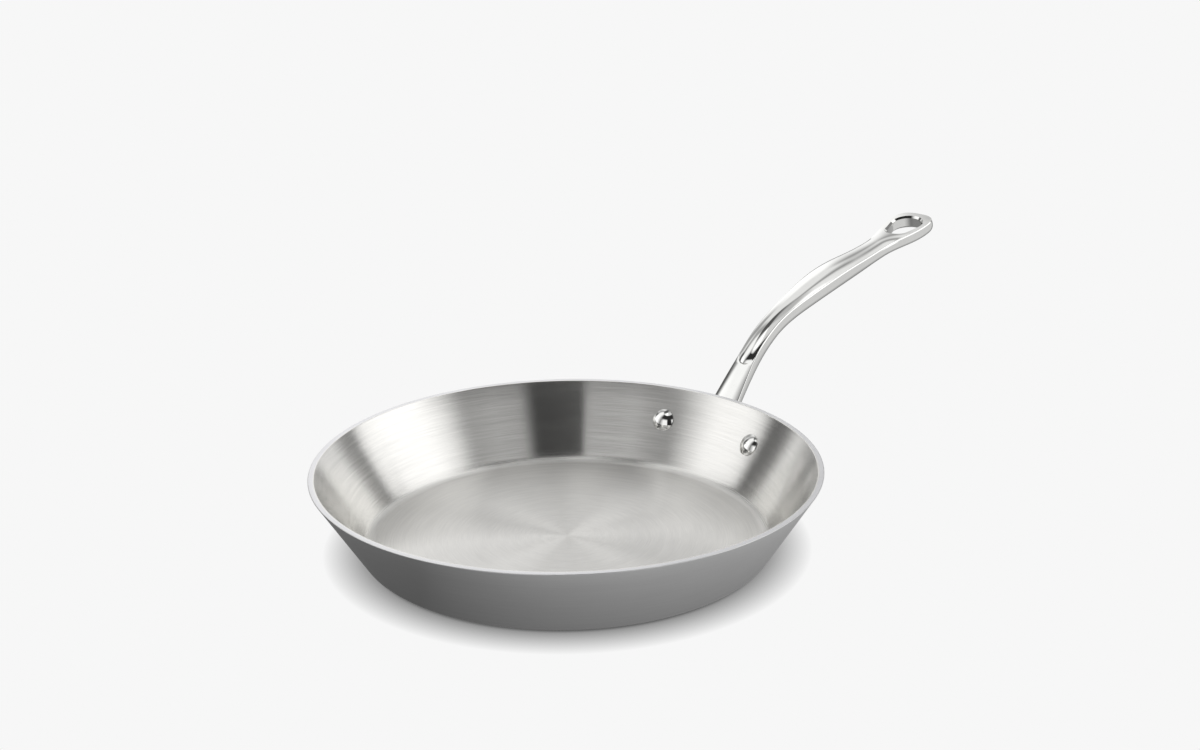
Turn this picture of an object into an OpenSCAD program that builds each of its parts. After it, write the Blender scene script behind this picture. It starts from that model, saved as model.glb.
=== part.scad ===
// Omelette pan: a shallow clad bowl with a cast handle held by two rivets.
// Origin at the centre of the base's underside, +Z up, the handle reaches towards +X.

/* [Bowl] */
// Outer diameter at the rim
rim_d = 260; // [200:1:320]
// Height from the underside to the rim
rim_h = 42; // [34:1:60]
// Angle of the wall above the floor
wall_angle = 58; // [50:1:70]
// Outer radius of the corner between the floor and the wall
corner_r = 9; // [6:0.5:16]
// Thickness of the steel skin inside
inner_ply_t = 0.5; // [0.3:0.1:1]
// Thickness of the aluminium core
core_ply_t = 1.8; // [1:0.1:3]
// Thickness of the magnetic steel skin outside
outer_ply_t = 0.5; // [0.3:0.1:1]
// Width of the small bevel on each edge of the rim
rim_bevel = 0.25; // [0.1:0.05:0.3]

/* [Rivets] */
// Height of the rivet heads above the underside, on the inside of the wall
rivet_z = 26; // [22:1:28]
// Distance between the two rivets
rivet_span = 60; // [50:1:70]
// Diameter of the domed head
rivet_head_d = 12; // [10:0.5:14]
// Height of the domed head above the wall
rivet_head_h = 2.6; // [2:0.1:3.5]
// Diameter of the shank
rivet_shank_d = 6; // [5:0.5:7]
// Diameter of the upset tail outside the flange
rivet_tail_d = 9.5; // [8.5:0.5:11]
// Height of the upset tail
rivet_tail_h = 2; // [1.5:0.1:3]
// Gap between the shank and its holes
shank_gap = 0.05; // [0.02:0.01:0.2]

/* [Handle flange] */
// Thickness of the flange against the wall
flange_t = 3.2; // [2.5:0.1:4.5]
// Diameter of the ear around each rivet
ear_d = 19; // [17:0.5:22]
// Height of the web between the ears, measured up the wall
web_h = 15; // [12:0.5:17]
// Gap between the neck's root and each rivet's tail
root_clear = 2.2; // [1.5:0.1:4]

/* [Handle] */
// Reach of the handle beyond the rim
handle_len = 192.2; // [160:1:230]
// Rise of the handle's tip above the rim
handle_rise = 65.6; // [50:0.2:80]
// Slope of the neck where it leaves the wall
neck_slope = 49.5; // [44:0.5:54]
// Width of the neck where it passes the rim
neck_rim_w = 16.5; // [14:0.5:22]
// Width of the neck just before the grip
neck_w = 12.4; // [10:0.2:16]
// Thickness of the flat neck
neck_t = 3.7; // [3:0.1:5]
// Distance from the rim to the tip of the grip's nose
nose_at = 15.8; // [10:0.5:24]
// Length of the grip's rounded nose
nose_len = 5.2; // [4:0.2:10]
// Distance from the rim to the bend, where the grip's two long curves meet
bend_at = 67.2; // [58:0.2:80]
// Rise of the handle above the rim at the bend
bend_rise = 43.5; // [36:0.5:50]
// Slope of the handle at the bend
bend_slope = 16.2; // [12:0.2:22]
// Distance from the rim to the slimmest place behind the nose
slim_at = 35; // [30:1:45]
// Width of the grip there
slim_w = 11.4; // [9:0.2:12]
// Height of the grip's flank there
slim_t = 7.2; // [5:0.2:9]
// Distance from the rim to the widest place of the grip
grip_at = 96; // [80:1:115]
// Width of the grip there
grip_w = 19; // [16:0.5:26]
// Height of the grip's flank there
grip_t = 7.8; // [6:0.2:10]
// Distance from the rim to the waist
waist_at = 144; // [125:1:160]
// Width of the waist
waist_w = 15; // [12:0.5:19]
// Height of the waist's flank
waist_t = 6.4; // [5:0.2:9]
// Height of the crown as a share of the grip's width
crown_share = 0.15; // [0.08:0.01:0.2]
// Height of the crown as a share of the loop's width
loop_crown_share = 0.02; // [0:0.01:0.08]
// Slope of the handle at its tip
tip_slope = 12.5; // [8:0.5:18]

/* [Hanging loop] */
// Width of the loop
loop_w = 25.2; // [23:0.2:30]
// Height of the loop's flank
loop_t = 7.2; // [5:0.2:9]
// Radius of the round end of the hole
hole_r = 9; // [7:0.2:9.4]
// Radius of the narrow end of the hole
hole_point_r = 6.7; // [3:0.1:7]
// Length of the hole
hole_len = 25.2; // [20:0.2:28]
// Width of the loop's strap at the tip
strap_w = 5.8; // [4:0.2:8]
// How square the loop's round end is, where 2 is a circle
loop_square = 2.9; // [2:0.1:3.2]
// Width of the bevel round the hole
hole_bevel = 1.1; // [0.4:0.1:1.3]

/* [Hidden] */

steel_colour = "silver";
core_colour = "lightgray";
skin_colour = "gray";
cast_colour = "gainsboro";
bowl_facets = 144;
rivet_facets = 48;

rim_r = rim_d / 2;
wall_t = inner_ply_t + core_ply_t + outer_ply_t;

// The wall's outer line: its radius at the floor's level and at any height
foot_r = rim_r - rim_h / tan(wall_angle);
function wall_r(z) = foot_r + z / tan(wall_angle);

// The corner's centre, shared by every level of the clad sheet
floor_r = foot_r - corner_r * tan(wall_angle / 2);

// Unit vector out of the wall, square to it, as radius and height
out_r = sin(wall_angle);
out_z = -cos(wall_angle);

// The rivets: the place of each head's centre on the inner wall
rivet_r = wall_r(rivet_z) - wall_t / out_r;
rivet_turn = asin(rivet_span / 2 / rivet_r);

// Places along the handle, as distances from the pan's axis
nose_x = rim_r + nose_at;
slim_x = rim_r + slim_at;
grip_x = rim_r + grip_at;
waist_x = rim_r + waist_at;
tip_x = rim_r + handle_len;
loop_r = loop_w / 2;

root_w = rivet_span - rivet_tail_d - 2 * root_clear;

// The ridge line of the handle in its plane of symmetry, as two curves.
// It starts a little inside the wall, so that the wall's cone trims the flange's seat.
start_in = 1.5;
start_p = [
    rivet_r + wall_t * out_r - start_in * out_r,
    rivet_z + wall_t * out_z - start_in * out_z
];
bend_p = [rim_r + bend_at, rim_h + bend_rise];
tip_p = [tip_x, rim_h + handle_rise];
neck_run = norm(bend_p - start_p);
grip_run = norm(tip_p - bend_p);
function aim(angle) = [cos(angle), sin(angle)];

// How far each curve follows its end slopes, as shares of its run.
// The shares before and after the bend give both curves the same curvature there.
neck_leave = 0.57;
bend_arrive = 0.38;
bend_leave = 0.42;
tip_arrive = 0.67;
neck_curve = [
    start_p,
    start_p + neck_leave * neck_run * aim(neck_slope),
    bend_p - bend_arrive * neck_run * aim(bend_slope),
    bend_p
];
grip_curve = [
    bend_p,
    bend_p + bend_leave * grip_run * aim(bend_slope),
    tip_p - tip_arrive * grip_run * aim(tip_slope),
    tip_p
];

function bezier(c, t) =
    pow(1 - t, 3) * c[0]
    + 3 * pow(1 - t, 2) * t * c[1]
    + 3 * (1 - t) * t * t * c[2]
    + pow(t, 3) * c[3];
function bezier_run(c, t) =
    3 * pow(1 - t, 2) * (c[1] - c[0])
    + 6 * (1 - t) * t * (c[2] - c[1])
    + 3 * t * t * (c[3] - c[2]);
function station(c, t) = let (p = bezier(c, t), run = bezier_run(c, t)) [p, atan2(run[1], run[0])];

// The loop's centre lies one loop radius back from the tip, along the tip's slope
loop_p = tip_p - loop_r * aim(tip_slope);
hole_x = tip_x - (strap_w + hole_r) * cos(tip_slope);
hole_start_x = hole_x - hole_len + 2 * hole_r;

// How far x has come from x0 to x1, and a smooth change from a to b meanwhile
function share_of(x, x0, x1) = min(1, max(0, (x - x0) / (x1 - x0)));
function ease(x, x0, x1, a, b) = a + (b - a) * (1 - cos(180 * share_of(x, x0, x1))) / 2;

// Width, flank height and crown of the handle at a distance x from the pan's axis
root_x = start_p[0];
neck_taper = (neck_rim_w - neck_w) / nose_at;
slim_power = max(1.5, neck_taper * (slim_at - nose_at) / max(0.1, neck_w - slim_w));
flare_power = 2.5;
function root_flare(x) = (root_w - neck_rim_w) * pow(1 - share_of(x, root_x, rim_r), flare_power);
function handle_w(x) =
    x < nose_x ? neck_rim_w - neck_taper * (x - rim_r) + root_flare(x)
    : x < slim_x ? slim_w + (neck_w - slim_w) * pow(1 - share_of(x, nose_x, slim_x), slim_power)
    : x < grip_x ? ease(x, slim_x, grip_x, slim_w, grip_w)
    : x < waist_x ? ease(x, grip_x, waist_x, grip_w, waist_w)
    : ease(x, waist_x, loop_p[0], waist_w, loop_w);
function handle_t(x) =
    x < slim_x ? ease(x, rim_r - nose_at / 2, slim_x, neck_t, slim_t)
    : x < grip_x ? ease(x, slim_x, grip_x, slim_t, grip_t)
    : x < waist_x ? ease(x, grip_x, waist_x, grip_t, waist_t)
    : ease(x, waist_x, loop_p[0], waist_t, loop_t);
function crown_h(x) = handle_w(x) * ease(x, waist_x, hole_start_x, crown_share, loop_crown_share);
function nose_share(x) = sqrt(1 - pow(1 - share_of(x, nose_x, nose_x + nose_len), 2));

// Half of the handle's section, from the crest round the side to the underside's middle.
// Each point is [distance from the middle, height above the ridge line].
// The flank's points are [distance out from the ridge, share of the flank's height].
edge_flat = 0.4;
flank_points = [[0, 0], [0.5, 0.4], [0.3, 0.72], [-0.66, 0.93], [-2.2, 1]];
under_in = -flank_points[len(flank_points) - 1][0];
under_crown = 0.5;
neck_softness = 0.2;
crown_steps = 6;
under_steps = 3;
nose_min = 0.3;
function half_section(x) = let (
    half_w = handle_w(x) / 2,
    t = handle_t(x),
    top_w = half_w - edge_flat,
    share = nose_share(x),
    on_neck = x < nose_x - 0.01,
    crown_w = on_neck ? top_w : max(nose_min, top_w * share),
    crown = crown_h(x) * share,
    soft = ease(x, nose_x, slim_x, neck_softness, 1),
    under_w = half_w - under_in * soft
) concat(
    [for (j = [0:crown_steps]) let (q = j / crown_steps) [crown_w * q, crown * (1 - q * q)]],
    [for (p = flank_points) [half_w + soft * p[0], -t * p[1]]],
    [for (j = [1:under_steps]) let (q = 1 - j / under_steps)
        [under_w * q, -t - under_crown * soft * (1 - q * q)]]
);

// A point of the section, set square to the ridge line.
// Near the root the section bends round the wall, and it is straight from the rim on.
bend_r = wall_r(rivet_z) / out_r;
function bend(x, across) = (1 - share_of(x, root_x, rim_r)) * across * across / (2 * bend_r);
function place(s, side, q) = let (up = q[1] + bend(s[0][0], q[0]))
    [s[0][0] - up * sin(s[1]), side * q[0], s[0][1] + up * cos(s[1])];
function ring(s) = let (h = half_section(s[0][0]), n = len(h) - 1) concat(
    [for (j = [0:n]) place(s, -1, h[j])],
    [for (j = [n - 1:-1:1]) place(s, 1, h[j])]
);

// Stations along both curves, with one at the very tip of the nose.
// The last one is at the loop's centre, where the round end takes over.
root_steps = 12;
nose_steps = 8;
swell_steps = 10;
grip_steps = 30;
function t_at(c, x, lo = 0, hi = 1, n = 30) =
    let (mid = (lo + hi) / 2)
        n == 0 ? mid
        : bezier(c, mid)[0] < x ? t_at(c, x, mid, hi, n - 1)
        : t_at(c, x, lo, mid, n - 1);
nose_t = t_at(neck_curve, nose_x);
nose_end_t = t_at(neck_curve, nose_x + nose_len);
loop_end_t = t_at(grip_curve, loop_p[0]);
neck_ts = concat(
    [for (i = [0:root_steps]) nose_t * i / root_steps],
    [for (i = [1:nose_steps]) nose_t + (nose_end_t - nose_t) * (1 - cos(90 * i / nose_steps))],
    [for (i = [1:swell_steps]) nose_end_t + (1 - nose_end_t) * i / swell_steps]
);
stations = concat(
    [for (t = neck_ts) station(neck_curve, t)],
    [for (i = [1:grip_steps]) station(grip_curve, loop_end_t * i / grip_steps)]
);
last_station = stations[len(stations) - 1];
hole_station = station(grip_curve, t_at(grip_curve, hole_x));

// The round end: the last half section swept round the loop's centre
end_steps = 18;
end_section = half_section(last_station[0][0]);
function squared(v) = sign(v) * pow(abs(v), 2 / loop_square);
function end_line(turn) = let (p = last_station[0], a = last_station[1]) [
    for (j = [1:len(end_section) - 2]) let (
        along = end_section[j][0] * squared(sin(turn)),
        across = -end_section[j][0] * squared(cos(turn)),
        up = end_section[j][1]
    ) [p[0] + along * cos(a) - up * sin(a), across, p[1] + along * sin(a) + up * cos(a)]
];

module handle_loft() {
    rings = [for (s = stations) ring(s)];
    lines = [for (i = [1:end_steps - 1]) end_line(180 * i / end_steps)];
    n = len(rings[0]);
    m = n / 2;
    last = (len(rings) - 1) * n;
    fan = len(rings) * n;
    points = concat([for (r = rings) each r], [for (l = lines) each l]);
    // Index of level j on line i of the round end, whose first and last lines are the last ring's sides
    function level(i, j) =
        j == 0 ? last
        : j == m ? last + m
        : i == 0 ? last + j
        : i == end_steps ? last + n - j
        : fan + (i - 1) * (m - 1) + j - 1;
    start_cap = [[for (j = [0:n - 1]) j]];
    sides = [
        for (i = [0:len(rings) - 2])
            for (j = [0:n - 1])
                let (a = i * n + j, b = i * n + (j + 1) % n)
                    each [[a, b + n, b], [a, a + n, b + n]]
    ];
    round_end = [for (i = [0:end_steps - 1]) for (j = [0:m - 1]) each concat(
        j == m - 1 ? [] : [[level(i, j), level(i + 1, j + 1), level(i, j + 1)]],
        j == 0 ? [] : [[level(i, j), level(i + 1, j), level(i + 1, j + 1)]]
    )];
    polyhedron(points = points, faces = concat(start_cap, sides, round_end), convexity = 6);
}

// A solid cone that fills the bowl's outside, used to trim what seats on the wall
trim_over = 30;
module wall_cone(offset) {
    low = -trim_over;
    high = rim_h + trim_over;
    shift = offset / out_r;
    translate([0, 0, low])
        cylinder(h = high - low, r1 = wall_r(low) + shift, r2 = wall_r(high) + shift, $fn = bowl_facets);
}

// Puts its children on a rivet's axis: z = 0 on the inner wall, +Z into the bowl
module at_rivet(side) {
    rotate([0, 0, side * rivet_turn])
        translate([rivet_r, 0, rivet_z])
            rotate([0, -wall_angle, 0])
                children();
}

// How far a cutter runs past what it cuts
over = 1;

// The through hole of one rivet, which also clears the head and the tail
module rivet_hole(side) {
    reach = wall_t + flange_t + rivet_tail_h + over;
    at_rivet(side)
        translate([0, 0, -reach])
            cylinder(h = 2 * reach, r = rivet_shank_d / 2 + shank_gap, $fn = rivet_facets);
}

// The solid under one level of the clad sheet, as a half profile up to a height.
// The level is the distance in from the outer surface.
module level_profile(level, height) {
    r = corner_r - level;
    tangent = [floor_r + r * out_r, corner_r + r * out_z];
    rim = [wall_r(height) - level / out_r, height];
    union() {
        polygon([[0, level], [floor_r, level], tangent, rim, [0, height]]);
        translate([floor_r, corner_r])
            circle(r = r, $fn = bowl_facets);
    }
}

// The bevels on the rim's outer and inner edge
module rim_bevels() {
    outer = [wall_r(rim_h), rim_h];
    inner = outer - [wall_t / out_r, 0];
    for (edge = [[outer, 1], [inner, -1]])
        translate(edge[0])
            polygon([[-edge[1] * rim_bevel, 0], [edge[1] * over, 0], [edge[1] * over, over], [0, over]]);
}

// One ply of the clad sheet, between two levels, with its rivet holes
module ply(from_level, to_level) {
    difference() {
        rotate_extrude($fn = bowl_facets)
            difference() {
                level_profile(from_level, rim_h);
                level_profile(to_level, rim_h + over);
            }
        rotate_extrude($fn = bowl_facets)
            rim_bevels();
        for (side = [-1, 1])
            rivet_hole(side);
    }
}

module inner_ply() {
    color(steel_colour)
        ply(outer_ply_t + core_ply_t, wall_t);
}

module core_ply() {
    color(core_colour)
        ply(outer_ply_t, outer_ply_t + core_ply_t);
}

module outer_ply() {
    color(skin_colour)
        ply(0, outer_ply_t);
}

// The band of the flange between the ears, wrapped round the wall
module flange_web() {
    out = [out_r, out_z];
    up = [-out_z, out_r];
    seat = [rivet_r, rivet_z] + wall_t * out;
    low = seat - web_h / 2 * up;
    high = seat + web_h / 2 * up;
    rotate([0, 0, -rivet_turn])
        rotate_extrude(angle = 2 * rivet_turn, $fn = bowl_facets)
            polygon([
                low - over * out,
                low + (flange_t + over) * out,
                high + (flange_t + over) * out,
                high - over * out
            ]);
}

// The round ear about one rivet
module flange_ear(side) {
    at_rivet(side)
        translate([0, 0, -wall_t - flange_t - 2 * over])
            cylinder(h = flange_t + 4 * over, r = ear_d / 2, $fn = rivet_facets);
}

// The flange: the web and both ears, between the wall and the flange's outer face
module flange() {
    difference() {
        intersection() {
            union() {
                flange_web();
                flange_ear(-1);
                flange_ear(1);
            }
            wall_cone(flange_t);
        }
        wall_cone(0);
    }
}

// The neck and grip, trimmed where the root meets the wall
module neck_and_grip() {
    difference() {
        handle_loft();
        wall_cone(0);
    }
}

// The outline of the hanging hole, from its round end back to its narrow end
module hole_outline(grow) {
    hull() {
        circle(r = hole_r + grow, $fn = 40);
        translate([hole_r + hole_point_r - hole_len, 0])
            circle(r = hole_point_r + grow, $fn = 40);
    }
}

// One bevel of the hole: it opens upwards at 45 degrees from a depth
module hole_bevel_cut(depth) {
    below = 1;
    above = 3 * hole_bevel;
    sheet = 0.1;
    hull() {
        translate([0, 0, depth - below])
            linear_extrude(height = sheet)
                hole_outline(-below);
        translate([0, 0, depth + above])
            linear_extrude(height = sheet)
                hole_outline(above);
    }
}

// The hanging hole, square to the ridge line, with a bevel above and below
module hanging_hole() {
    through = 2 * loop_t;
    crest = loop_w * loop_crown_share * (1 - pow(hole_r / loop_r, 2));
    translate([hole_station[0][0], 0, hole_station[0][1]])
        rotate([0, -hole_station[1], 0]) {
            translate([0, 0, -through])
                linear_extrude(height = 2 * through)
                    hole_outline(0);
            hole_bevel_cut(crest - hole_bevel);
            translate([0, 0, -loop_t])
                mirror([0, 0, 1])
                    hole_bevel_cut(-hole_bevel);
        }
}

module handle() {
    color(cast_colour)
        difference() {
            union() {
                flange();
                neck_and_grip();
            }
            for (side = [-1, 1])
                rivet_hole(side);
            hanging_hole();
        }
}

// A round cap on a straight edge, standing on z = 0 and sunk a little below it
module rivet_cap(diameter, height, edge, sink) {
    r = diameter / 2;
    dome = height - edge;
    dome_r = (r * r + dome * dome) / (2 * dome);
    rotate_extrude($fn = rivet_facets)
        union() {
            translate([0, -sink])
                square([r, sink + edge]);
            intersection() {
                translate([0, height - dome_r])
                    circle(r = dome_r, $fn = 4 * rivet_facets);
                translate([0, edge - 0.01])
                    square([r, height]);
            }
        }
}

// One rivet: a domed head inside, the shank, and a tail upset against the flange
head_edge = 0.6;
tail_edge = 0.5;
cap_sink = 0.6;
module rivet(side) {
    color(cast_colour)
        union() {
            intersection() {
                at_rivet(side)
                    rivet_cap(rivet_head_d, rivet_head_h, head_edge, cap_sink);
                wall_cone(-wall_t);
            }
            at_rivet(side)
                translate([0, 0, -wall_t - flange_t - tail_edge])
                    cylinder(
                        h = wall_t + flange_t + tail_edge + head_edge,
                        r = rivet_shank_d / 2,
                        $fn = rivet_facets
                    );
            difference() {
                at_rivet(side)
                    translate([0, 0, -wall_t - flange_t])
                        mirror([0, 0, 1])
                            rivet_cap(rivet_tail_d, rivet_tail_h, tail_edge, cap_sink);
                wall_cone(flange_t);
            }
        }
}

module rivet_left() {
    rivet(1);
}

module rivet_right() {
    rivet(-1);
}

inner_ply();
core_ply();
outer_ply();
handle();
rivet_left();
rivet_right();
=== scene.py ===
"""A clad steel omelette pan with a polished cast handle, on a pale studio floor.

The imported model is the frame: it gives the pan's place and main sizes, and every length here is in metres.
"""

import math

import bpy
from bpy.props import FloatProperty, FloatVectorProperty, IntProperty, PointerProperty
from mathutils import Matrix, Vector


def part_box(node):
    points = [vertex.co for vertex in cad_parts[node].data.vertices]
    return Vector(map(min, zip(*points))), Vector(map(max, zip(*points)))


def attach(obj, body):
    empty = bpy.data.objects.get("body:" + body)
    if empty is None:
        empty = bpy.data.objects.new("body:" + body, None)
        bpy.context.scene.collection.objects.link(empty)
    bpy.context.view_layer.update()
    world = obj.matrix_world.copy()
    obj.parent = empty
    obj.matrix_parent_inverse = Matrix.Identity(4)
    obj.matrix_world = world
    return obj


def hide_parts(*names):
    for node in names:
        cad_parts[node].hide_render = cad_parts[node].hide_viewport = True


bl_info = {
    "name": "Omelette Pan",
    "version": (1, 0, 0),
    "blender": (4, 5, 0),
    "location": "View3D > Sidebar > Omelette Pan",
    "description": "Builds and finishes an omelette pan and its studio",
    "category": "Object",
}

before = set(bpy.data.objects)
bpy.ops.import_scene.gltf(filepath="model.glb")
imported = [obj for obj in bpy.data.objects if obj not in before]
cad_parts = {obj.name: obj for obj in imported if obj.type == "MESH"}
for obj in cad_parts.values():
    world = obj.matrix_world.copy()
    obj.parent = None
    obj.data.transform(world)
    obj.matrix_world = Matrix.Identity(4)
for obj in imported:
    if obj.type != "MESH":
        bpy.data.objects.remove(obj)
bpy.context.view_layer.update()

MM = 0.001

# What the frame says of the bowl, whose plies lie on one another
RIM_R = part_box("outer_ply")[1].x
RIM_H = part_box("outer_ply")[1].z
CORE_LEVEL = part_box("core_ply")[0].z
INNER_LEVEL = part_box("inner_ply")[0].z

# Steps along the bowl's corner and the rim's edges
CORNER_STEPS = 24
EDGE_STEPS = 6


def hex_to_linear(hex_colour):
    """An sRGB hex colour such as d0d0cc as linear red, green and blue."""
    channels = [int(hex_colour[i:i + 2], 16) / 255 for i in (0, 2, 4)]
    return tuple(c / 12.92 if c <= 0.04045 else ((c + 0.055) / 1.055) ** 2.4 for c in channels)


def colour_of(name, description, hex_colour):
    """A colour that a user can change."""
    return FloatVectorProperty(
        name=name, description=description, subtype="COLOR", min=0, max=1,
        default=hex_to_linear(hex_colour),
    )


def length_of(name, description, millimetres):
    """A length that a user can change."""
    return FloatProperty(
        name=name, description=description, unit="LENGTH", subtype="DISTANCE", precision=5,
        default=millimetres * MM,
    )


def angle_of(name, description, degrees):
    """An angle that a user can change."""
    return FloatProperty(name=name, description=description, subtype="ANGLE", default=math.radians(degrees))


class BowlSettings(bpy.types.PropertyGroup):
    """Sizes and colours of the clad bowl"""

    wall_angle: angle_of("Wall angle", "Angle of the wall above the floor", 58)
    corner_r: length_of("Corner radius", "Outer radius of the corner between floor and wall", 9)
    wall_t: length_of("Wall thickness", "Thickness of the three plies together", 2.8)
    rim_round: length_of("Rim rounding", "Radius that rounds each edge of the rim", 0.25)
    facets: IntProperty(name="Facets", description="Facets round the bowl", min=32, default=360)
    inside_colour: colour_of("Inside", "Colour of the ground steel inside", "ecebe8")
    core_colour: colour_of("Core", "Colour of the aluminium that shows at the rim", "e8e8ea")
    outside_colour: colour_of("Outside", "Colour of the satin steel outside", "dcdcdc")


class HandleSettings(bpy.types.PropertyGroup):
    """Sizes and colours of the cast handle"""

    handle_len: length_of("Reach", "Reach of the handle beyond the rim", 192.18)
    rivet_z: length_of("Rivet height", "Height of the rivets on the inside of the wall", 26)
    rivet_span: length_of("Rivet span", "Distance between the two rivets", 60)
    handle_rise: length_of("Rise", "Rise of the handle's tip above the rim", 65.6)
    neck_slope: angle_of("Neck slope", "Slope of the neck where it leaves the wall", 49.5)
    neck_rim_w: length_of("Neck at the rim", "Width of the neck where it passes the rim", 16.5)
    neck_w: length_of("Neck width", "Width of the neck just before the grip", 12.4)
    neck_t: length_of("Neck thickness", "Thickness of the flat neck", 3.7)
    nose_at: length_of("Nose place", "Distance from the rim to the tip of the grip's nose", 15.8)
    nose_len: length_of("Nose length", "Length of the grip's rounded nose", 5.2)
    bend_at: length_of("Bend place", "Distance from the rim to where the two long curves meet", 67.2)
    bend_rise: length_of("Bend rise", "Rise above the rim where the two long curves meet", 43.5)
    bend_slope: angle_of("Bend slope", "Slope where the two long curves meet", 16.2)
    slim_at: length_of("Slim place", "Distance from the rim to the slimmest place", 35)
    slim_w: length_of("Slim width", "Width at the slimmest place", 11.4)
    slim_t: length_of("Slim flank", "Height of the flank at the slimmest place", 7.2)
    grip_at: length_of("Grip place", "Distance from the rim to the widest place of the grip", 96)
    grip_w: length_of("Grip width", "Width of the grip", 19)
    grip_t: length_of("Grip flank", "Height of the grip's flank", 7.8)
    waist_at: length_of("Waist place", "Distance from the rim to the waist", 144)
    waist_w: length_of("Waist width", "Width of the waist", 15)
    waist_t: length_of("Waist flank", "Height of the waist's flank", 6.4)
    crown_share: FloatProperty(
        name="Crown", description="Height of the crown per width", min=0, max=0.3, default=0.15
    )
    loop_crown_share: FloatProperty(
        name="Loop crown", description="Height of the loop's crown per width", min=0, max=0.1, default=0.02
    )
    loop_square: FloatProperty(
        name="Loop squareness", description="How square the loop's end is, where 2 is round",
        min=2, max=4, default=2.9,
    )
    tip_slope: angle_of("Tip slope", "Slope of the handle at its tip", 12.5)
    loop_w: length_of("Loop width", "Width of the hanging loop", 25.2)
    loop_t: length_of("Loop flank", "Height of the loop's flank", 7.2)
    hole_r: length_of("Hole radius", "Radius of the hole's round end", 9)
    hole_point_r: length_of("Hole point radius", "Radius of the hole's narrow end", 6.7)
    hole_len: length_of("Hole length", "Length of the hanging hole", 25.2)
    strap_w: length_of("Strap width", "Width of the loop's strap at the tip", 5.8)
    hole_bevel: length_of("Hole bevel", "Width of the bevel round the hole", 1.1)
    flange_t: length_of("Flange thickness", "Thickness of the flange on the wall", 3.2)
    ear_d: length_of("Ear diameter", "Diameter of the ear round each rivet", 19)
    web_h: length_of("Web height", "Height of the web between the ears", 15)
    root_clear: length_of("Root gap", "Gap between the neck's root and each rivet's tail", 2.2)
    tail_d: length_of("Tail diameter", "Diameter of each rivet's upset tail", 9.5)
    cast_colour: colour_of("Casting", "Colour of the polished casting", "ececea")


def bowl():
    """The bowl's settings."""
    return bpy.context.scene.pan_bowl


def grip():
    """The handle's settings."""
    return bpy.context.scene.pan_handle


def share_of(x, low, high):
    """How far x has come from low to high, from 0 to 1."""
    return min(1.0, max(0.0, (x - low) / (high - low)))


def ease(x, low, high, before, after):
    """Smooth change from one value to another while x goes from low to high."""
    return before + (after - before) * (1 - math.cos(math.pi * share_of(x, low, high))) / 2


def aim(angle):
    """The direction at an angle above the level."""
    return Vector((math.cos(angle), math.sin(angle)))


def mesh_object(name, points, faces, sharp_angle=math.radians(30)):
    """A smooth shaded mesh object whose edges past an angle stay sharp."""
    mesh = bpy.data.meshes.new(name)
    mesh.from_pydata([tuple(p) for p in points], [], faces)
    mesh.validate()
    mesh.shade_smooth()
    mesh.set_sharp_from_angle(angle=sharp_angle)
    made = bpy.data.objects.new(name, mesh)
    bpy.context.scene.collection.objects.link(made)
    return made


def revolve(name, outline, facets):
    """Turns a closed outline of radius and height pairs about Z. Points on the axis stay single."""
    points = []
    rings = []
    for radius, height in outline:
        if radius < 1e-9:
            rings.append([len(points)] * facets)
            points.append((0, 0, height))
            continue
        rings.append([len(points) + i for i in range(facets)])
        turns = [2 * math.pi * i / facets for i in range(facets)]
        points += [(radius * math.cos(t), radius * math.sin(t), height) for t in turns]
    faces = []
    for ring, following in zip(rings, rings[1:] + rings[:1]):
        for i in range(facets):
            j = (i + 1) % facets
            corners = list(dict.fromkeys((ring[i], ring[j], following[j], following[i])))
            if len(corners) > 2:
                faces.append(corners)
    return mesh_object(name, points, faces)


def foot_r():
    """Radius at which the outer wall's line would meet the ground."""
    return RIM_R - RIM_H / math.tan(bowl().wall_angle)


def wall_r(height):
    """Radius of the wall's outer face at a height."""
    return foot_r() + height / math.tan(bowl().wall_angle)


def level_line(level, top):
    """One level of the clad sheet, from the axis up to a height. A level is a depth from outside."""
    settings = bowl()
    centre_r = foot_r() - settings.corner_r * math.tan(settings.wall_angle / 2)
    radius = settings.corner_r - level
    # Short faces beside the corner keep the flat floor and the straight wall free of its shading
    guard = 0.4 * MM
    floor = [(centre_r * share, level) for share in (0, 0.05, 0.25, 0.5, 0.75)] + [(centre_r - guard, level)]
    turns = [settings.wall_angle * i / CORNER_STEPS for i in range(CORNER_STEPS + 1)]
    corner = [(centre_r + radius * math.sin(t), settings.corner_r - radius * math.cos(t)) for t in turns]
    low = corner[-1][1] + guard
    shift = level / math.sin(settings.wall_angle)
    heights = [low + (top - low) * share for share in (0, 0.25, 0.5, 0.75, 1)]
    return floor + corner + [(wall_r(z) - shift, z) for z in heights]


def rounded_line(level, side):
    """A level's line with a round edge at the rim, where side is 1 on the outside and -1 on the inside."""
    slope = bowl().wall_angle
    radius = bowl().rim_round
    start = slope - side * math.pi / 2
    half = slope / 2 if side > 0 else (math.pi - slope) / 2
    centre_r = wall_r(RIM_H) - level / math.sin(slope) - side * radius / math.tan(half)
    centre_z = RIM_H - radius
    turns = [start + (math.pi / 2 - start) * i / EDGE_STEPS for i in range(EDGE_STEPS + 1)]
    arc = [(centre_r + radius * math.cos(t), centre_z + radius * math.sin(t)) for t in turns]
    return level_line(level, arc[0][1])[:-1] + arc


def ply_outline(low_level, high_level):
    """The closed outline of one ply, from the axis out along its underside and back along its top."""
    outer = level_line(low_level, RIM_H) if low_level else rounded_line(0, 1)
    thick = bowl().wall_t
    inner = rounded_line(thick, -1) if high_level == thick else level_line(high_level, RIM_H)
    return outer + inner[::-1]


def bezier(curve, t):
    """The point at a share of a cubic curve."""
    a, b, c, d = curve
    return (1 - t) ** 3 * a + 3 * (1 - t) ** 2 * t * b + 3 * (1 - t) * t * t * c + t ** 3 * d


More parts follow.
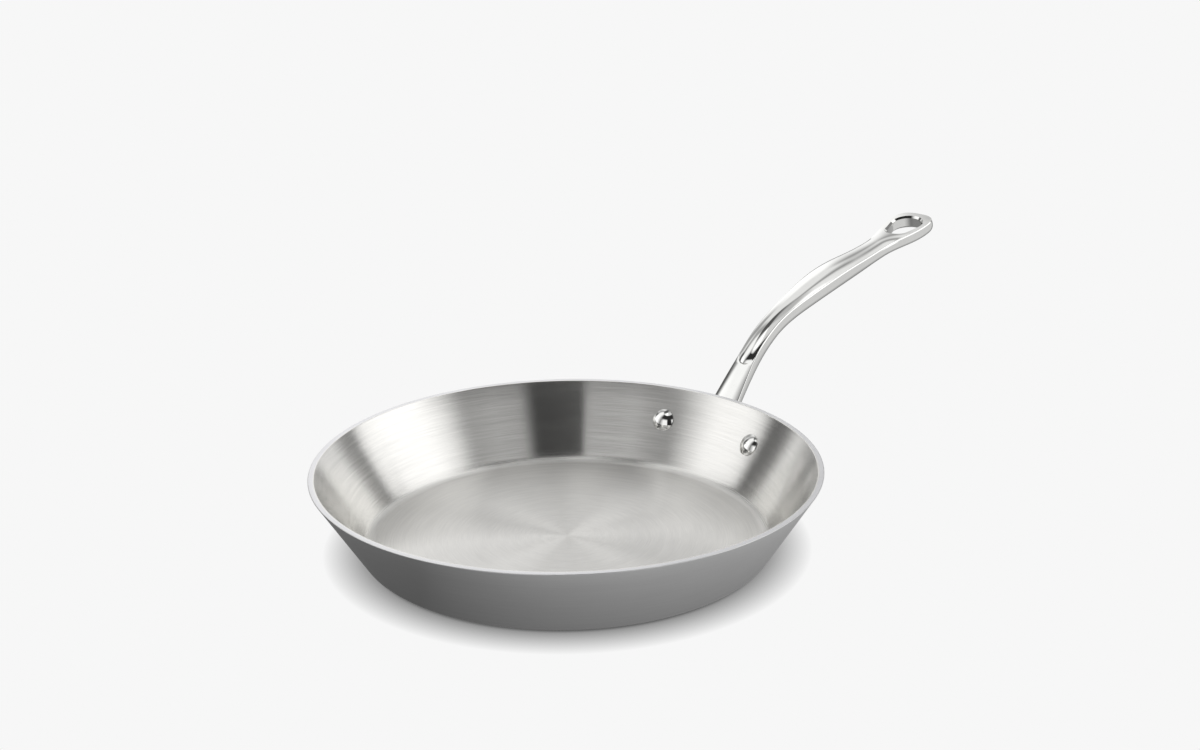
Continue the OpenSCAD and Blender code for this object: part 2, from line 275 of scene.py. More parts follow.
def bezier_slope(curve, t):
    """The slope at a share of a cubic curve."""
    a, b, c, d = curve
    run = 3 * (1 - t) ** 2 * (b - a) + 6 * (1 - t) * t * (c - b) + 3 * t * t * (d - c)
    return math.atan2(run.y, run.x)


def share_at(curve, x):
    """The share along a curve at which it reaches x."""
    low, high = 0.0, 1.0
    for _ in range(40):
        middle = (low + high) / 2
        low, high = (middle, high) if bezier(curve, middle).x < x else (low, middle)
    return low


def rivet_r():
    """Radius of the rivets' place on the inner wall."""
    return wall_r(grip().rivet_z) - bowl().wall_t / math.sin(bowl().wall_angle)


# How far each long curve of the handle follows its slope at either end, as shares of its run
NECK_PULLS = (0.57, 0.38)
GRIP_PULLS = (0.42, 0.67)

# How hollow the neck's sides are between the flange and the rim, where 1 is straight
NECK_HOLLOW = 2.5

# The handle's side from the crown's edge to the underside: how far out, in soft widths, and how far down it
FLANK = [(0, 0), (0.46, 0.4), (0.3, 0.72), (-0.66, 0.93), (-2.2, 1)]

# The soft width in millimetres at the nose and at the slim place, and the flat left beside the crown
SOFT_NOSE = 0.2
SOFT_SLIM = 1
LEDGE = 0.4 * MM

# The radius of the edge above the flank, and the least half width that a crown has where it begins
EDGE_R = 0.3 * MM
CROWN_START = 0.3 * MM

# Steps over half of the crown, the places across half of the underside, and its fullness in soft widths
CROWN_STEPS = 24
UNDER_SHARES = (0.9, 0.75, 0.6, 0.45, 0.3, 0.15, 0)
UNDER_BELLY = 0.5

# Steps of the loft along the neck, the nose, the swell behind it and the grip, and round the loop's end
NECK_STEPS = 70
NOSE_STEPS = 24
SWELL_STEPS = 70
GRIP_STEPS = 150
END_STEPS = 64


class HandleForm:
    """The handle's ridge line, and its width, flank and crown along it."""

    def __init__(self):
        s = grip()
        self.s = s
        out = Vector((math.sin(bowl().wall_angle), -math.cos(bowl().wall_angle)))
        # The ridge line starts inside the sheet, so that the trimmed casting meets the wall all round
        start_in = 1.5 * MM
        self.start = Vector((rivet_r(), s.rivet_z)) + (bowl().wall_t - start_in) * out
        self.tip = Vector((RIM_R + s.handle_len, RIM_H + s.handle_rise))
        bend = Vector((RIM_R + s.bend_at, RIM_H + s.bend_rise))
        neck_run = (bend - self.start).length
        grip_run = (self.tip - bend).length
        self.neck = [
            self.start,
            self.start + NECK_PULLS[0] * neck_run * aim(s.neck_slope),
            bend - NECK_PULLS[1] * neck_run * aim(s.bend_slope),
            bend,
        ]
        self.grip = [
            bend,
            bend + GRIP_PULLS[0] * grip_run * aim(s.bend_slope),
            self.tip - GRIP_PULLS[1] * grip_run * aim(s.tip_slope),
            self.tip,
        ]
        self.nose_x = RIM_R + s.nose_at
        self.slim_x = RIM_R + s.slim_at
        self.grip_x = RIM_R + s.grip_at
        self.waist_x = RIM_R + s.waist_at
        self.loop_x = self.tip.x - s.loop_w / 2 * math.cos(s.tip_slope)
        self.hole_x = self.tip.x - (s.strap_w + s.hole_r) * math.cos(s.tip_slope)
        self.hole_start_x = self.hole_x - s.hole_len + 2 * s.hole_r
        self.root_w = s.rivet_span - s.tail_d - 2 * s.root_clear
        self.taper = (s.neck_rim_w - s.neck_w) / s.nose_at
        # The power at which the sides go on behind the nose with the neck's own taper
        self.slim_power = max(1.5, self.taper * (s.slim_at - s.nose_at) / max(0.1 * MM, s.neck_w - s.slim_w))
        self.bend_r = wall_r(s.rivet_z) / math.sin(bowl().wall_angle)

    def width(self, x):
        """Width of the handle where the ridge line reaches x."""
        s = self.s
        if x < self.nose_x:
            flare = (self.root_w - s.neck_rim_w) * (1 - share_of(x, self.start.x, RIM_R)) ** NECK_HOLLOW
            return s.neck_rim_w - self.taper * (x - RIM_R) + flare
        if x < self.slim_x:
            left = 1 - share_of(x, self.nose_x, self.slim_x)
            return s.slim_w + (s.neck_w - s.slim_w) * left ** self.slim_power
        if x < self.grip_x:
            return ease(x, self.slim_x, self.grip_x, s.slim_w, s.grip_w)
        if x < self.waist_x:
            return ease(x, self.grip_x, self.waist_x, s.grip_w, s.waist_w)
        return ease(x, self.waist_x, self.loop_x, s.waist_w, s.loop_w)

    def flank(self, x):
        """Height of the flank, which is the neck's thickness as far as the rim."""
        s = self.s
        if x < self.slim_x:
            return ease(x, RIM_R - s.nose_at / 2, self.slim_x, s.neck_t, s.slim_t)
        if x < self.grip_x:
            return ease(x, self.slim_x, self.grip_x, s.slim_t, s.grip_t)
        if x < self.waist_x:
            return ease(x, self.grip_x, self.waist_x, s.grip_t, s.waist_t)
        return ease(x, self.waist_x, self.loop_x, s.waist_t, s.loop_t)

    def crown(self, x):
        """Height of the crown over its edges."""
        s = self.s
        return self.width(x) * ease(x, self.waist_x, self.hole_start_x, s.crown_share, s.loop_crown_share)

    def nose(self, x):
        """The nose's outline is half an ellipse, across and along the middle alike."""
        back = 1 - share_of(x, self.nose_x, self.nose_x + self.s.nose_len)
        return math.sqrt(1 - back * back)

    def half_section(self, x):
        """Half of the section from the crest to the underside's middle, as distance out and height."""
        half = self.width(x) / 2
        depth = self.flank(x)
        soft = ease(x, self.nose_x, self.slim_x, SOFT_NOSE, SOFT_SLIM) * MM
        share = self.nose(x)
        crown_w = max(CROWN_START, (half - LEDGE) * share)
        crown = self.crown(x) * share
        shares = [i / CROWN_STEPS for i in range(CROWN_STEPS + 1)]
        top = [(crown_w * q, crown * (1 - q ** 2)) for q in shares]
        edge = [Vector((half - EDGE_R, 0)), Vector((half - 0.3 * EDGE_R, -0.3 * EDGE_R))]
        flank = [Vector((half + out * soft, -down * depth)) for out, down in FLANK]
        under_w = half + FLANK[-1][0] * soft
        under = [(under_w * q, -depth - UNDER_BELLY * soft * (1 - q * q)) for q in UNDER_SHARES]
        return top + [tuple(p) for p in edge + smooth_line(flank, EDGE_R)] + under


def smooth_line(controls, skip):
    """A smooth line through control points, which leaves out the first skip of its way."""
    first = controls[0] + (controls[1] - controls[0]).normalized() * skip
    points = [first] + controls[1:]
    padded = [2 * points[0] - points[1]] + points + [2 * points[-1] - points[-2]]
    steps = 5
    line = []
    for a, b, c, d in zip(padded, padded[1:], padded[2:], padded[3:]):
        for i in range(steps):
            t = i / steps
            bend = (2 * a - 5 * b + 4 * c - d) * t * t
            line.append(0.5 * (2 * b + (c - a) * t + bend + (3 * b - a - 3 * c + d) * t ** 3))
    return line + [points[-1]]


def handle_stations(form):
    """Places and slopes along the ridge line, which lie closest where the nose begins."""
    nose_t = share_at(form.neck, form.nose_x)
    nose_end_t = share_at(form.neck, form.nose_x + form.s.nose_len)
    loop_t = share_at(form.grip, form.loop_x)
    neck_ts = [nose_t * i / NECK_STEPS for i in range(NECK_STEPS + 1)]
    neck_ts += [
        nose_t + (nose_end_t - nose_t) * (1 - math.cos(math.pi / 2 * i / NOSE_STEPS))
        for i in range(1, NOSE_STEPS + 1)
    ]
    neck_ts += [nose_end_t + (1 - nose_end_t) * i / SWELL_STEPS for i in range(1, SWELL_STEPS + 1)]
    grip_ts = [loop_t * i / GRIP_STEPS for i in range(1, GRIP_STEPS + 1)]
    along = [(form.neck, t) for t in neck_ts] + [(form.grip, t) for t in grip_ts]
    return [(bezier(curve, t), bezier_slope(curve, t)) for curve, t in along]


def round_end(form, place, slope, ring, points):
    """Faces of the loop's end, the last half section turned about the loop's middle. Adds their points."""
    half = form.half_section(place.x)
    middle = len(ring) // 2
    lines = [ring[:middle + 1]]
    power = 2 / form.s.loop_square
    for i in range(1, END_STEPS):
        turn = math.pi * i / END_STEPS
        forward = math.sin(turn) ** power
        side = math.copysign(abs(math.cos(turn)) ** power, math.cos(turn))
        line = [ring[0]]
        for q, up in half[1:-1]:
            along = q * forward
            line.append(len(points))
            points.append((
                place.x + along * math.cos(slope) - up * math.sin(slope),
                -q * side,
                place.y + along * math.sin(slope) + up * math.cos(slope),
            ))
        lines.append(line + [ring[middle]])
    lines.append([ring[0]] + ring[:middle:-1] + [ring[middle]])
    faces = []
    for line, following in zip(lines, lines[1:]):
        for i in range(middle):
            corners = list(dict.fromkeys((line[i], following[i], following[i + 1], line[i + 1])))
            if len(corners) > 2:
                faces.append(corners)
    return faces


def handle_body(form):
    """The casting's neck, grip and loop as one closed loft, before the hole is cut."""
    stations = handle_stations(form)
    points = []
    rings = []
    for place, slope in stations:
        half = form.half_section(place.x)
        # Near the wall the section is bent round the pan
        wrap = (1 - share_of(place.x, form.start.x, RIM_R)) / (2 * form.bend_r)
        around = [(-q, up) for q, up in half] + [(q, up) for q, up in half[-2:0:-1]]
        rings.append([len(points) + i for i in range(len(around))])
        for q, up in around:
            lift = up + wrap * q * q
            points.append((place.x - lift * math.sin(slope), q, place.y + lift * math.cos(slope)))
    count = len(rings[0])
    faces = [tuple(rings[0])]
    for ring, following in zip(rings, rings[1:]):
        for i in range(count):
            j = (i + 1) % count
            faces.append((ring[i], following[i], following[j], ring[j]))
    faces += round_end(form, *stations[-1], rings[-1], points)
    return mesh_object("handle_casting", points, faces, math.radians(20))


def hole_outline(grow):
    """The hanging hole's outline, a large and a small circle joined by their tangents."""
    s = grip()
    apart = s.hole_len - s.hole_r - s.hole_point_r
    tangent = math.acos(-(s.hole_r - s.hole_point_r) / apart)
    steps = 40
    large = [-tangent + 2 * tangent * i / steps for i in range(steps + 1)]
    small = [tangent + (2 * math.pi - 2 * tangent) * i / steps for i in range(steps + 1)]
    radius = s.hole_r + grow
    point_radius = s.hole_point_r + grow
    return [(radius * math.cos(a), radius * math.sin(a)) for a in large] + [
        (point_radius * math.cos(a) - apart, point_radius * math.sin(a)) for a in small
    ]


def prism(name, layers):
    """A closed solid through layers of outline points, each a list of points and a height."""
    points = [(x, y, z) for outline, z in layers for x, y in outline]
    count = len(layers[0][0])
    faces = [tuple(range(count - 1, -1, -1)), tuple(range(len(points) - count, len(points)))]
    for level in range(len(layers) - 1):
        for i in range(count):
            j = (i + 1) % count
            a = level * count
            faces.append((a + i, a + j, a + count + j, a + count + i))
    return mesh_object(name, points, faces)


def cut(target, cutter, operation="DIFFERENCE"):
    """Applies a boolean and removes the cutter."""
    modifier = target.modifiers.new("cut", "BOOLEAN")
    modifier.operation = operation
    modifier.solver = "EXACT"
    modifier.object = cutter
    graph = bpy.context.evaluated_depsgraph_get()
    mesh = bpy.data.meshes.new_from_object(target.evaluated_get(graph))
    target.modifiers.clear()
    old = target.data
    target.data = mesh
    bpy.data.meshes.remove(old)
    bpy.data.objects.remove(cutter)


def wall_place(turn, up, out):
    """A point near the outer wall, by its turn about Z, its way up the slope and its distance out."""
    slope = bowl().wall_angle
    through = bowl().wall_t + out
    radius = rivet_r() + up * math.cos(slope) + through * math.sin(slope)
    height = grip().rivet_z + up * math.sin(slope) - through * math.cos(slope)
    return radius * math.cos(turn), radius * math.sin(turn), height


def flange():
    """The flange on the outer wall: an ear round each rivet and the web between them, with a soft edge."""
    s = grip()
    ear_r = s.ear_d / 2
    rivet_turn = math.asin(s.rivet_span / 2 / rivet_r())
    seat_r = rivet_r() + bowl().wall_t * math.sin(bowl().wall_angle)
    edge_r = 0.9 * MM
    columns = 140
    rows = 36
    # The last column stops a hair short of the ear's edge, so that it keeps some height
    reach = rivet_turn + 0.9999 * ear_r / seat_r
    outside = []
    inside = []
    for i in range(columns + 1):
        # Columns lie closer together towards both ends
        turn = -reach * math.cos(math.pi * i / columns)
        past = (abs(turn) - rivet_turn) * seat_r
        ear = math.sqrt(max(0, ear_r * ear_r - past * past))
        web = s.web_h / 2 if past < 0 else 0
        half = max(ear, web)
        for j in range(rows + 1):
            up = -half * math.cos(math.pi * j / rows)
            from_ear = ear_r - math.hypot(past, up)
            depth = min(edge_r, max(from_ear, web - abs(up), 0))
            lift = s.flange_t - edge_r + math.sqrt(edge_r * edge_r - (edge_r - depth) ** 2)
            outside.append(wall_place(turn, up, lift))
            inside.append(wall_place(turn, up, 0))
    count = len(outside)
    faces = []
    for i in range(columns):
        for j in range(rows):
            a = i * (rows + 1) + j
            b = a + rows + 1
            faces.append((a, b, b + 1, a + 1))
            faces.append((count + a, count + a + 1, count + b + 1, count + b))
    for i in range(columns):
        low = i * (rows + 1)
        high = low + rows
        faces.append((low, count + low, count + low + rows + 1, low + rows + 1))
        faces.append((high, high + rows + 1, count + high + rows + 1, count + high))
    for j in range(rows):
        last = columns * (rows + 1) + j
        faces.append((j, j + 1, count + j + 1, count + j))
        faces.append((last, count + last, count + last + 1, last + 1))
    return mesh_object("flange", outside + inside, faces)


def hole_cutter(form):
    """The hanging hole's straight wall, with a bevel at each end that runs on past the casting."""
    s = grip()
    share = share_at(form.grip, form.hole_x)
    place = bezier(form.grip, share)
    lean = Matrix.Rotation(-bezier_slope(form.grip, share), 4, "Y")
    crest = s.loop_w * s.loop_crown_share * (1 - (2 * s.hole_r / s.loop_w) ** 2)
    top = crest - s.hole_bevel
    bottom = s.hole_bevel - s.loop_t
    past = 4 * s.hole_bevel
    cutter = prism("hole", [
        (hole_outline(past), bottom - past),
        (hole_outline(0), bottom),
        (hole_outline(0), top),
        (hole_outline(past), top + past),
    ])
    cutter.data.transform(Matrix.Translation((place.x, 0, place.y)) @ lean)
    return cutter


def bowl_space():
    """The space within the outer wall, which trims the casting to its seat."""
    low = grip().rivet_z - grip().ear_d
    outline = [(0, low), (wall_r(low), low), (wall_r(RIM_H), RIM_H), (0, RIM_H)]
    return revolve("inside", outline, 2 * bowl().facets)


class PAN_OT_bowl(bpy.types.Operator):
    """Build the three plies of the clad bowl"""

    bl_idname = "pan.bowl"
    bl_label = "Bowl"

    def execute(self, context):
        settings = bowl()
        thick = settings.wall_t
        for name, node, low, high, slot, material in (
            ("inner_skin", "inner_ply", INNER_LEVEL, thick, "brushed_steel", inside_material(settings)),
            ("core_sheet", "core_ply", CORE_LEVEL, INNER_LEVEL, "aluminium_core", core_material(settings)),
            ("outer_skin", "outer_ply", 0, CORE_LEVEL, "satin_steel", outside_material(settings)),
        ):
            piece = revolve(name, ply_outline(low, high), settings.facets)
            finish_piece(piece, node, material)
        return {"FINISHED"}


def finish_piece(piece, node, material):
    """Gives a piece its material and its place in the frame."""
    piece.data.materials.clear()
    piece.data.materials.append(material)
    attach(piece, "root")
    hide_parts(node)


class PAN_OT_handle(bpy.types.Operator):
    """Build the cast handle"""

    bl_idname = "pan.handle"
    bl_label = "Handle"

    def execute(self, context):
        form = HandleForm()
        casting = handle_body(form)
        cut(casting, hole_cutter(form))
        cut(casting, flange(), "UNION")
        cut(casting, bowl_space())
        casting.data.shade_smooth()
        casting.data.set_sharp_from_angle(angle=math.radians(25))
        finish_piece(casting, "handle", cast_material(grip()))
        return {"FINISHED"}


class PAN_OT_rivets(bpy.types.Operator):
    """Finish the two rivets"""

    bl_idname = "pan.rivets"
    bl_label = "Rivets"

    def execute(self, context):
        material = rivet_material(grip())
        for name in ("rivet_left", "rivet_right"):
            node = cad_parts[name]
            node.data.materials.clear()
            node.data.materials.append(material)
        return {"FINISHED"}


# Nearly all of a noise lies between these two values
NOISE_RANGE = {"From Min": 0.3, "From Max": 0.7}

# Real grinding lines lie about 0.1 mm apart, and are drawn four times as coarse so that they show
LINE_PITCH = 0.42 * MM

# The broader streaks that a belt leaves, and the spacing of the slow shades over the whole sheet
STREAK_PITCH = 2.2 * MM
CLOUD_SIZE = 35 * MM

# The waves that a polishing mop leaves in a casting, and the finer haze of its last scratches
WAVE_SIZE = 16 * MM
HAZE_SIZE = 5 * MM

# On the sloping wall the radius grows by half the distance, and this share of the height makes up the rest
WALL_RUN = 0.55

# The heights between which the floor's finish goes over into the wall's
FLOOR_END = 3 * MM
WALL_START = 8 * MM


def add_node(tree, kind, inputs=None, output=0, **settings):
    """Adds a node and gives one of its outputs. An input that is an output is linked, any other is set."""
    node = tree.nodes.new(kind)
    for name, value in settings.items():
        setattr(node, name, value)
    for name, value in (inputs or {}).items():
        if isinstance(value, bpy.types.NodeSocket):
            tree.links.new(value, node.inputs[name])
        else:
            node.inputs[name].default_value = value
    return node.outputs[output] if node.outputs else None


def empty_tree(owner):
    """The emptied node tree of a material or a world."""
    owner.use_nodes = True
    owner.node_tree.nodes.clear()
    return owner.node_tree


def edge_wear(tree, roughening):
    """The roughness that rubbing adds at the edges, which stand out by their pointiness."""
    pointiness = add_node(tree, "ShaderNodeNewGeometry", None, "Pointiness")
    return add_node(tree, "ShaderNodeMapRange", {
        "Value": pointiness, "From Min": 0.56, "From Max": 0.66, "To Max": roughening,
    })


def round_lines(tree, place, pitch, turns):
    """Noise drawn out into fine lines round Z: pitch is the lines' spacing, turns their pieces per radian."""
    split = add_node(tree, "ShaderNodeSeparateXYZ", {"Vector": place}).node.outputs
    flat = add_node(tree, "ShaderNodeCombineXYZ", {"X": split["X"], "Y": split["Y"]})
    radius = add_node(tree, "ShaderNodeVectorMath", {0: flat}, "Value", operation="LENGTH")
    aimed = add_node(tree, "ShaderNodeVectorMath", {0: flat}, operation="NORMALIZE")
    run = add_node(tree, "ShaderNodeMath", {0: split["Z"], 1: WALL_RUN, 2: radius}, operation="MULTIPLY_ADD")
    count = add_node(tree, "ShaderNodeMath", {0: run, 1: pitch}, operation="DIVIDE")
    across = add_node(tree, "ShaderNodeCombineXYZ", {"Z": count})
    heading = add_node(tree, "ShaderNodeVectorMath", {0: aimed, "Scale": turns}, operation="SCALE")
    lines = add_node(tree, "ShaderNodeVectorMath", {0: heading, 1: across}, operation="ADD")
    return add_node(tree, "ShaderNodeTexNoise", {"Vector": lines, "Scale": 1.0, "Detail": 3.0})


def ground_metal(name, colour, roughness, anisotropy, line_tone, line_depth):
    """Sheet metal ground round the pan's axis. The grain draws each light out into a stripe across the lines.

    The roughness is a pair, for the floor and for the wall.
    """
    material = bpy.data.materials.new(name)
    tree = empty_tree(material)
    place = add_node(tree, "ShaderNodeTexCoord", None, "Object")
    lines = round_lines(tree, place, LINE_PITCH, 5.0)
    streaks = round_lines(tree, place, STREAK_PITCH, 2.0)
    clouds = add_node(tree, "ShaderNodeTexNoise", {"Vector": place, "Scale": 1 / CLOUD_SIZE})
    tone = 1.0
    for pattern, darkest in ((lines, 1 - line_tone), (streaks, 1 - line_tone / 2), (clouds, 0.97)):
        shade = add_node(tree, "ShaderNodeMapRange", {"Value": pattern, **NOISE_RANGE, "To Min": darkest})
        tone = add_node(tree, "ShaderNodeMath", {0: tone, 1: shade}, operation="MULTIPLY")
    even = add_node(tree, "ShaderNodeMapRange", {
        "Value": add_node(tree, "ShaderNodeSeparateXYZ", {"Vector": place}, "Z"),
        "From Min": FLOOR_END, "From Max": WALL_START, "To Min": roughness[0], "To Max": roughness[1],
    })
    uneven = add_node(tree, "ShaderNodeMapRange", {
        "Value": lines, **NOISE_RANGE, "To Min": 0.94, "To Max": 1.06,
    })
    toned = add_node(tree, "ShaderNodeVectorMath", {0: colour, "Scale": tone}, operation="SCALE")
    wear = edge_wear(tree, 0.08)
    rough = add_node(tree, "ShaderNodeMath", {0: even, 1: uneven, 2: wear}, operation="MULTIPLY_ADD")
    shader = add_node(tree, "ShaderNodeBsdfPrincipled", {
        "Metallic": 1.0,
        "Base Color": toned,
        "Roughness": rough,
        "Normal": add_node(tree, "ShaderNodeBump", {"Height": lines, "Distance": line_depth}),
        "Tangent": add_node(tree, "ShaderNodeTangent", direction_type="RADIAL", axis="Z"),
        "Anisotropic": anisotropy,
        # A quarter turn sets the spread of the light across the lines
        "Anisotropic Rotation": 0.25,
    })
    add_node(tree, "ShaderNodeOutputMaterial", {"Surface": shader})
    return material


def inside_material(settings):
    """Stainless steel ground with a fine belt: bright and dark bands up the wall and a star on the floor."""
    return ground_metal(
        "belt_ground_stainless_steel", settings.inside_colour, (0.3, 0.2), 1.0, 0.11, 0.02 * MM
    )


def core_material(settings):
    """Aluminium turned on a lathe, which the rim shows as a pale soft line."""
    return ground_metal("turned_aluminium", settings.core_colour, (0.35, 0.35), 0.6, 0.05, 0.001 * MM)


def outside_material(settings):
    """Stainless steel with a satin finish, dull enough that only broad soft shades show."""
    return ground_metal(
        "satin_ground_stainless_steel", settings.outside_colour, (0.3, 0.3), 0.6, 0.04, 0.001 * MM
    )


def polished_metal(name, colour, roughness, wave_depth):
    """Stainless steel polished on a mop: a near mirror whose reflections waver a little."""
    material = bpy.data.materials.new(name)
    tree = empty_tree(material)
    place = add_node(tree, "ShaderNodeTexCoord", None, "Object")
    waves = add_node(tree, "ShaderNodeTexNoise", {"Vector": place, "Scale": 1 / WAVE_SIZE, "Detail": 1.0})
    haze = add_node(tree, "ShaderNodeTexNoise", {"Vector": place, "Scale": 1 / HAZE_SIZE, "Detail": 4.0})
    tone = add_node(tree, "ShaderNodeMapRange", {"Value": haze, **NOISE_RANGE, "To Min": 0.97})
    hazy = add_node(tree, "ShaderNodeMapRange", {
        "Value": haze, "From Min": 0.35, "From Max": 0.65,
        "To Min": 0.7 * roughness, "To Max": 1.3 * roughness,
    })
    toned = add_node(tree, "ShaderNodeVectorMath", {0: colour, "Scale": tone}, operation="SCALE")
    wear = edge_wear(tree, 0.06)
    shader = add_node(tree, "ShaderNodeBsdfPrincipled", {
        "Metallic": 1.0,
        "Base Color": toned,
        "Roughness": add_node(tree, "ShaderNodeMath", {0: hazy, 1: wear}, operation="ADD"),
        "Normal": add_node(tree, "ShaderNodeBump", {"Height": waves, "Distance": wave_depth}),
    })
    add_node(tree, "ShaderNodeOutputMaterial", {"Surface": shader})
    return material


def cast_material(settings):
    """The casting, polished by hand after it is ground smooth."""
    return polished_metal("mop_polished_cast_steel", settings.cast_colour, 0.05, 0.05 * MM)


def rivet_material(settings):
    """The rivets, tumbled bright before they are set."""
    return polished_metal("tumbled_bright_rivet_steel", settings.cast_colour, 0.08, 0.02 * MM)


# The light tent round the pan, in three rings one above the other. Each panel has its two edges in degrees
# from +X, and its brightness. Low down, a black panel stands behind the camera, and a large bright one stands
# on either side of the pan
LOW_TENT = [
    (0, 12, 0.85),
    (29, 31, 0.4),
    (43, 54, 1.2),
    (66, 76, 0.4),
    (85, 87, 0.85),
    (95, 106, 0.12),
    (112, 138, 1.3),
    (160, 162, 0.25),
    (185, 211.5, 1.1),
    (213.5, 240, 0.02),
    (247.5, 262, 0.95),
    (277, 279, 0.65),
    (290, 340, 1.45),
    (343, 351, 0.25),
]
HIGH_TENT = [
    (0, 2, 0.9),
    (11, 13, 0.35),
    (24, 72, 0.9),
    (84, 96, 0.42),
    (108, 138, 1.12),
    (164, 300, 0.03),
    (313, 334, 1.4),
    (346, 350, 0.95),
]
CEILING = [
    (0, 2, 0.55),
    (40, 125, 0.1),
    (180, 205, 1.5),
    (240, 300, 0.77),
    (328, 332, 0.55),
]

# The elevations in degrees between which one ring goes over into the next
HIGH_START = (34, 44)
CEILING_START = (66, 70)

# The backdrop's colour
BACKDROP = "f7f7f7"

# The glow that the paper shows in the metal near the pan, far from it and on the left, where the dimmer near
# and left glows are painted shade, and the distances from the axis between which near goes over into far
PAPER_NEAR_PAINTED_SHADOW = 0.3
PAPER_FAR = 0.7
PAPER_LEFT_PAINTED_SHADE = 0.35
PAPER_START = 0.1
PAPER_END = 0.2

# How far the painted soft shadow of the pan reaches over the paper, and how dark it is
SHADOW_REACH = 0.018
SHADOW_DEPTH = 0.8

# Half the paper's width, and its level, a hair below the base so that the two faces never share a place
FLOOR_REACH = 3.0
FLOOR_LEVEL = -0.1 * MM

# The camera's place in millimetres before it is turned about the pan's axis, and its angles in degrees
CAMERA_PLACE = (17.6, -900.9, 406.7)
CAMERA_TURN = -48.2
CAMERA_DIP = 19.381
CAMERA_ROLL = -0.714

# The lens, and the width of the sensor behind it, in millimetres
CAMERA_LENS = 57.54
SENSOR_WIDTH = 36


class PAN_OT_stage(bpy.types.Operator):
    """Set up the studio: camera, light tent and floor"""

    bl_idname = "pan.stage"
    bl_label = "Stage"

    def execute(self, context):
        make_camera()
        make_world()
        make_floor()
        return {"FINISHED"}


def tent_ring(tree, turn, panels):
    """Brightness round one ring of the tent. Between two panels it runs evenly from one to the next."""
    light = add_node(tree, "ShaderNodeValToRGB", {"Fac": turn}, "Color")
    ramp = light.node.color_ramp
    stops = [(edge, level) for left, right, level in panels for edge in (left, right)]
    stops.append((360, stops[0][1]))
    for _ in stops[2:]:
        ramp.elements.new(0.5)
    for element, (edge, level) in zip(ramp.elements, stops):
        element.position = edge / 360
        element.color = (level, level, level, 1)
    return light


def make_world():
    """The studio that lights the pan and shows in its metal, while the camera sees a plain backdrop."""
    world = bpy.data.worlds.new("studio")
    tree = empty_tree(world)
    way = add_node(tree, "ShaderNodeTexCoord", None, "Generated")
    split = add_node(tree, "ShaderNodeSeparateXYZ", {"Vector": way}).node.outputs
    bearing = add_node(tree, "ShaderNodeMath", {0: split["Y"], 1: split["X"]}, operation="ARCTAN2")
    turns = add_node(tree, "ShaderNodeMath", {0: bearing, 1: 2 * math.pi}, operation="DIVIDE")
    turn = add_node(tree, "ShaderNodeMath", {0: turns}, operation="FRACT")
    tent = tent_ring(tree, turn, LOW_TENT)
    for elevations, panels in ((HIGH_START, HIGH_TENT), (CEILING_START, CEILING)):
        # A direction's height is the sine of its elevation
        low, high = (math.sin(math.radians(angle)) for angle in elevations)
        share = add_node(tree, "ShaderNodeMapRange", {"Value": split["Z"], "From Min": low, "From Max": high})
        ring = tent_ring(tree, turn, panels)
        tent = add_node(tree, "ShaderNodeMix", {0: share, 6: tent, 7: ring}, 2, data_type="RGBA")
    studio = add_node(tree, "ShaderNodeBackground", {"Color": tent})
    plain = add_node(tree, "ShaderNodeBackground", {"Color": (*hex_to_linear(BACKDROP), 1)})
    seen = add_node(tree, "ShaderNodeLightPath", None, "Is Camera Ray")
    shown = add_node(tree, "ShaderNodeMixShader", {0: seen, 1: studio, 2: plain})
    add_node(tree, "ShaderNodeOutputWorld", {"Surface": shown})
    bpy.context.scene.world = world


def make_floor():
    """White paper. The camera sees it as the backdrop, with a painted shadow where the pan shuts out the
    light. In the metal it glows, with painted shade near the pan and on the left.
    """
    material = bpy.data.materials.new("white_paper_floor_with_painted_shade")
    tree = empty_tree(material)
    # Painted shadow: the backdrop's glow is darkened where ambient occlusion finds the pan close by
    open_share = add_node(
        tree, "ShaderNodeAmbientOcclusion", {"Distance": SHADOW_REACH}, "AO", samples=32
    )
    shade = add_node(tree, "ShaderNodeMath", {0: open_share, 1: SHADOW_DEPTH}, operation="POWER")
    bright = add_node(
        tree, "ShaderNodeVectorMath", {0: hex_to_linear(BACKDROP), "Scale": shade}, operation="SCALE"
    )
    # Painted light and shade: in the metal the paper glows, darker near the pan as a painted shadow and
    # darker on the left
    place = add_node(tree, "ShaderNodeNewGeometry", None, "Position")
    far = add_node(tree, "ShaderNodeVectorMath", {0: place}, "Value", operation="LENGTH")
    ring = add_node(tree, "ShaderNodeMapRange", {
        "Value": far, "From Min": PAPER_START, "From Max": PAPER_END,
        "To Min": PAPER_NEAR_PAINTED_SHADOW, "To Max": PAPER_FAR,
    })
    side = add_node(tree, "ShaderNodeMapRange", {
        "Value": add_node(tree, "ShaderNodeSeparateXYZ", {"Vector": place}, "Y"),
        "From Min": -RIM_R, "From Max": 0.0, "To Min": 1.0, "To Max": PAPER_LEFT_PAINTED_SHADE,
    })
    painted_paper_glow = add_node(tree, "ShaderNodeMath", {0: ring, 1: side}, operation="MULTIPLY")
    seen = add_node(tree, "ShaderNodeLightPath", None, "Is Camera Ray")
    shown = add_node(tree, "ShaderNodeMixShader", {
        0: seen, 1: add_node(tree, "ShaderNodeEmission", {"Color": painted_paper_glow}),
        2: add_node(tree, "ShaderNodeEmission", {"Color": bright}),
    })
    add_node(tree, "ShaderNodeOutputMaterial", {"Surface": shown})
    floor = mesh_object("floor", [
        (x * FLOOR_REACH, y * FLOOR_REACH, FLOOR_LEVEL) for x, y in ((-1, -1), (1, -1), (1, 1), (-1, 1))
    ], [(0, 1, 2, 3)])
    floor.data.materials.append(material)


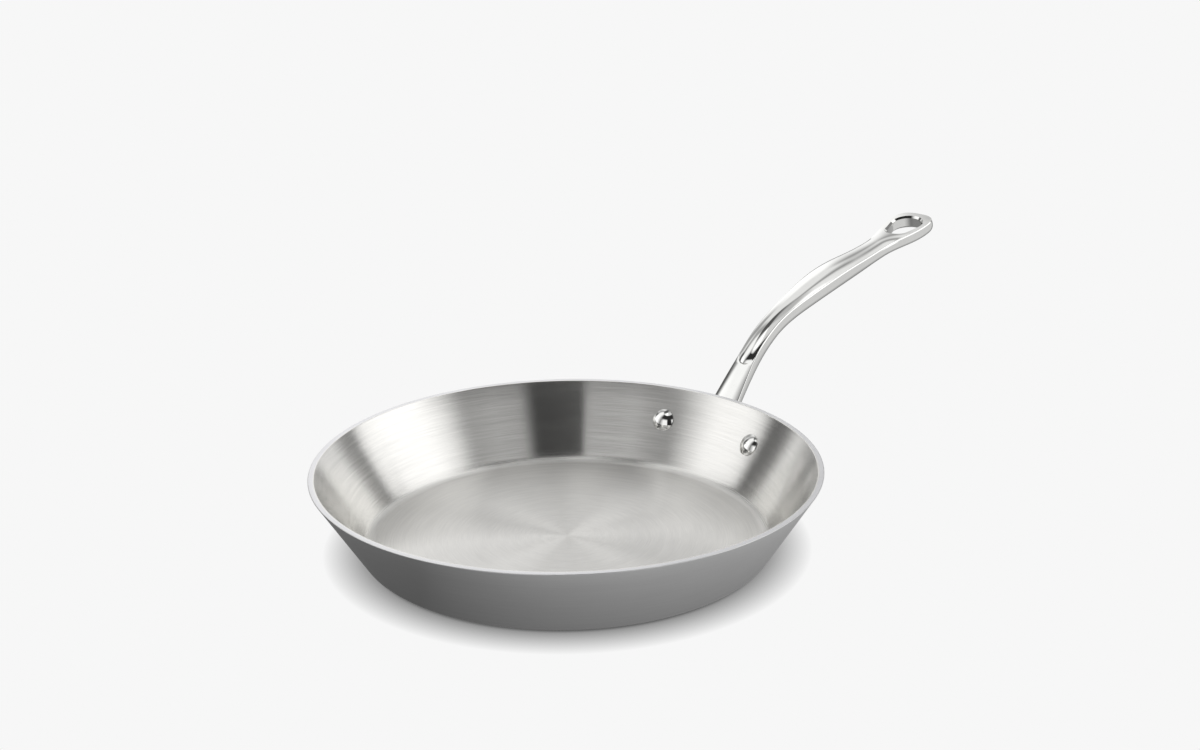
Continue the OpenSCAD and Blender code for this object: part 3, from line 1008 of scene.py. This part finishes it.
def make_camera():
    """The photograph's camera, solved from the outlines of the rim, the base and the wall."""
    dip = math.radians(CAMERA_DIP)
    roll = math.radians(CAMERA_ROLL)
    turn = Matrix.Rotation(math.radians(CAMERA_TURN), 3, "Z")
    right = Vector((1, 0, 0))
    up = Vector((0, math.sin(dip), math.cos(dip)))
    back = Vector((0, -math.cos(dip), math.sin(dip)))
    axes = [
        math.cos(roll) * right + math.sin(roll) * up,
        -math.sin(roll) * right + math.cos(roll) * up,
        back,
    ]
    data = bpy.data.cameras.new("camera")
    data.sensor_fit = "HORIZONTAL"
    data.sensor_width = SENSOR_WIDTH
    data.lens = CAMERA_LENS
    camera = bpy.data.objects.new("camera", data)
    bpy.context.scene.collection.objects.link(camera)
    rotation = Matrix([turn @ a for a in axes]).transposed().to_4x4()
    camera.matrix_world = Matrix.Translation(turn @ Vector(CAMERA_PLACE) * MM) @ rotation
    bpy.context.scene.camera = camera


class PAN_PT_panel(bpy.types.Panel):
    """The pan's pieces and the studio in the sidebar"""

    bl_idname = "PAN_PT_panel"
    bl_label = "Omelette Pan"
    bl_space_type = "VIEW_3D"
    bl_region_type = "UI"
    bl_category = "Omelette Pan"

    def draw(self, context):
        for operator in OPERATORS:
            self.layout.operator(operator.bl_idname)


OPERATORS = (PAN_OT_stage, PAN_OT_bowl, PAN_OT_handle, PAN_OT_rivets)
CLASSES = (BowlSettings, HandleSettings) + OPERATORS + (PAN_PT_panel,)


def register():
    """Registers the classes and ties the settings to the scene."""
    for one in CLASSES:
        bpy.utils.register_class(one)
    bpy.types.Scene.pan_bowl = PointerProperty(type=BowlSettings)
    bpy.types.Scene.pan_handle = PointerProperty(type=HandleSettings)


def unregister():
    """Takes the settings and the classes away again."""
    del bpy.types.Scene.pan_handle
    del bpy.types.Scene.pan_bowl
    for one in reversed(CLASSES):
        bpy.utils.unregister_class(one)


def main():
    """Builds the studio and the pan."""
    register()
    bpy.context.scene.view_settings.view_transform = "Standard"
    bpy.ops.pan.stage()
    bpy.ops.pan.bowl()
    bpy.ops.pan.handle()
    bpy.ops.pan.rivets()


if __name__ == "__main__":
    main()
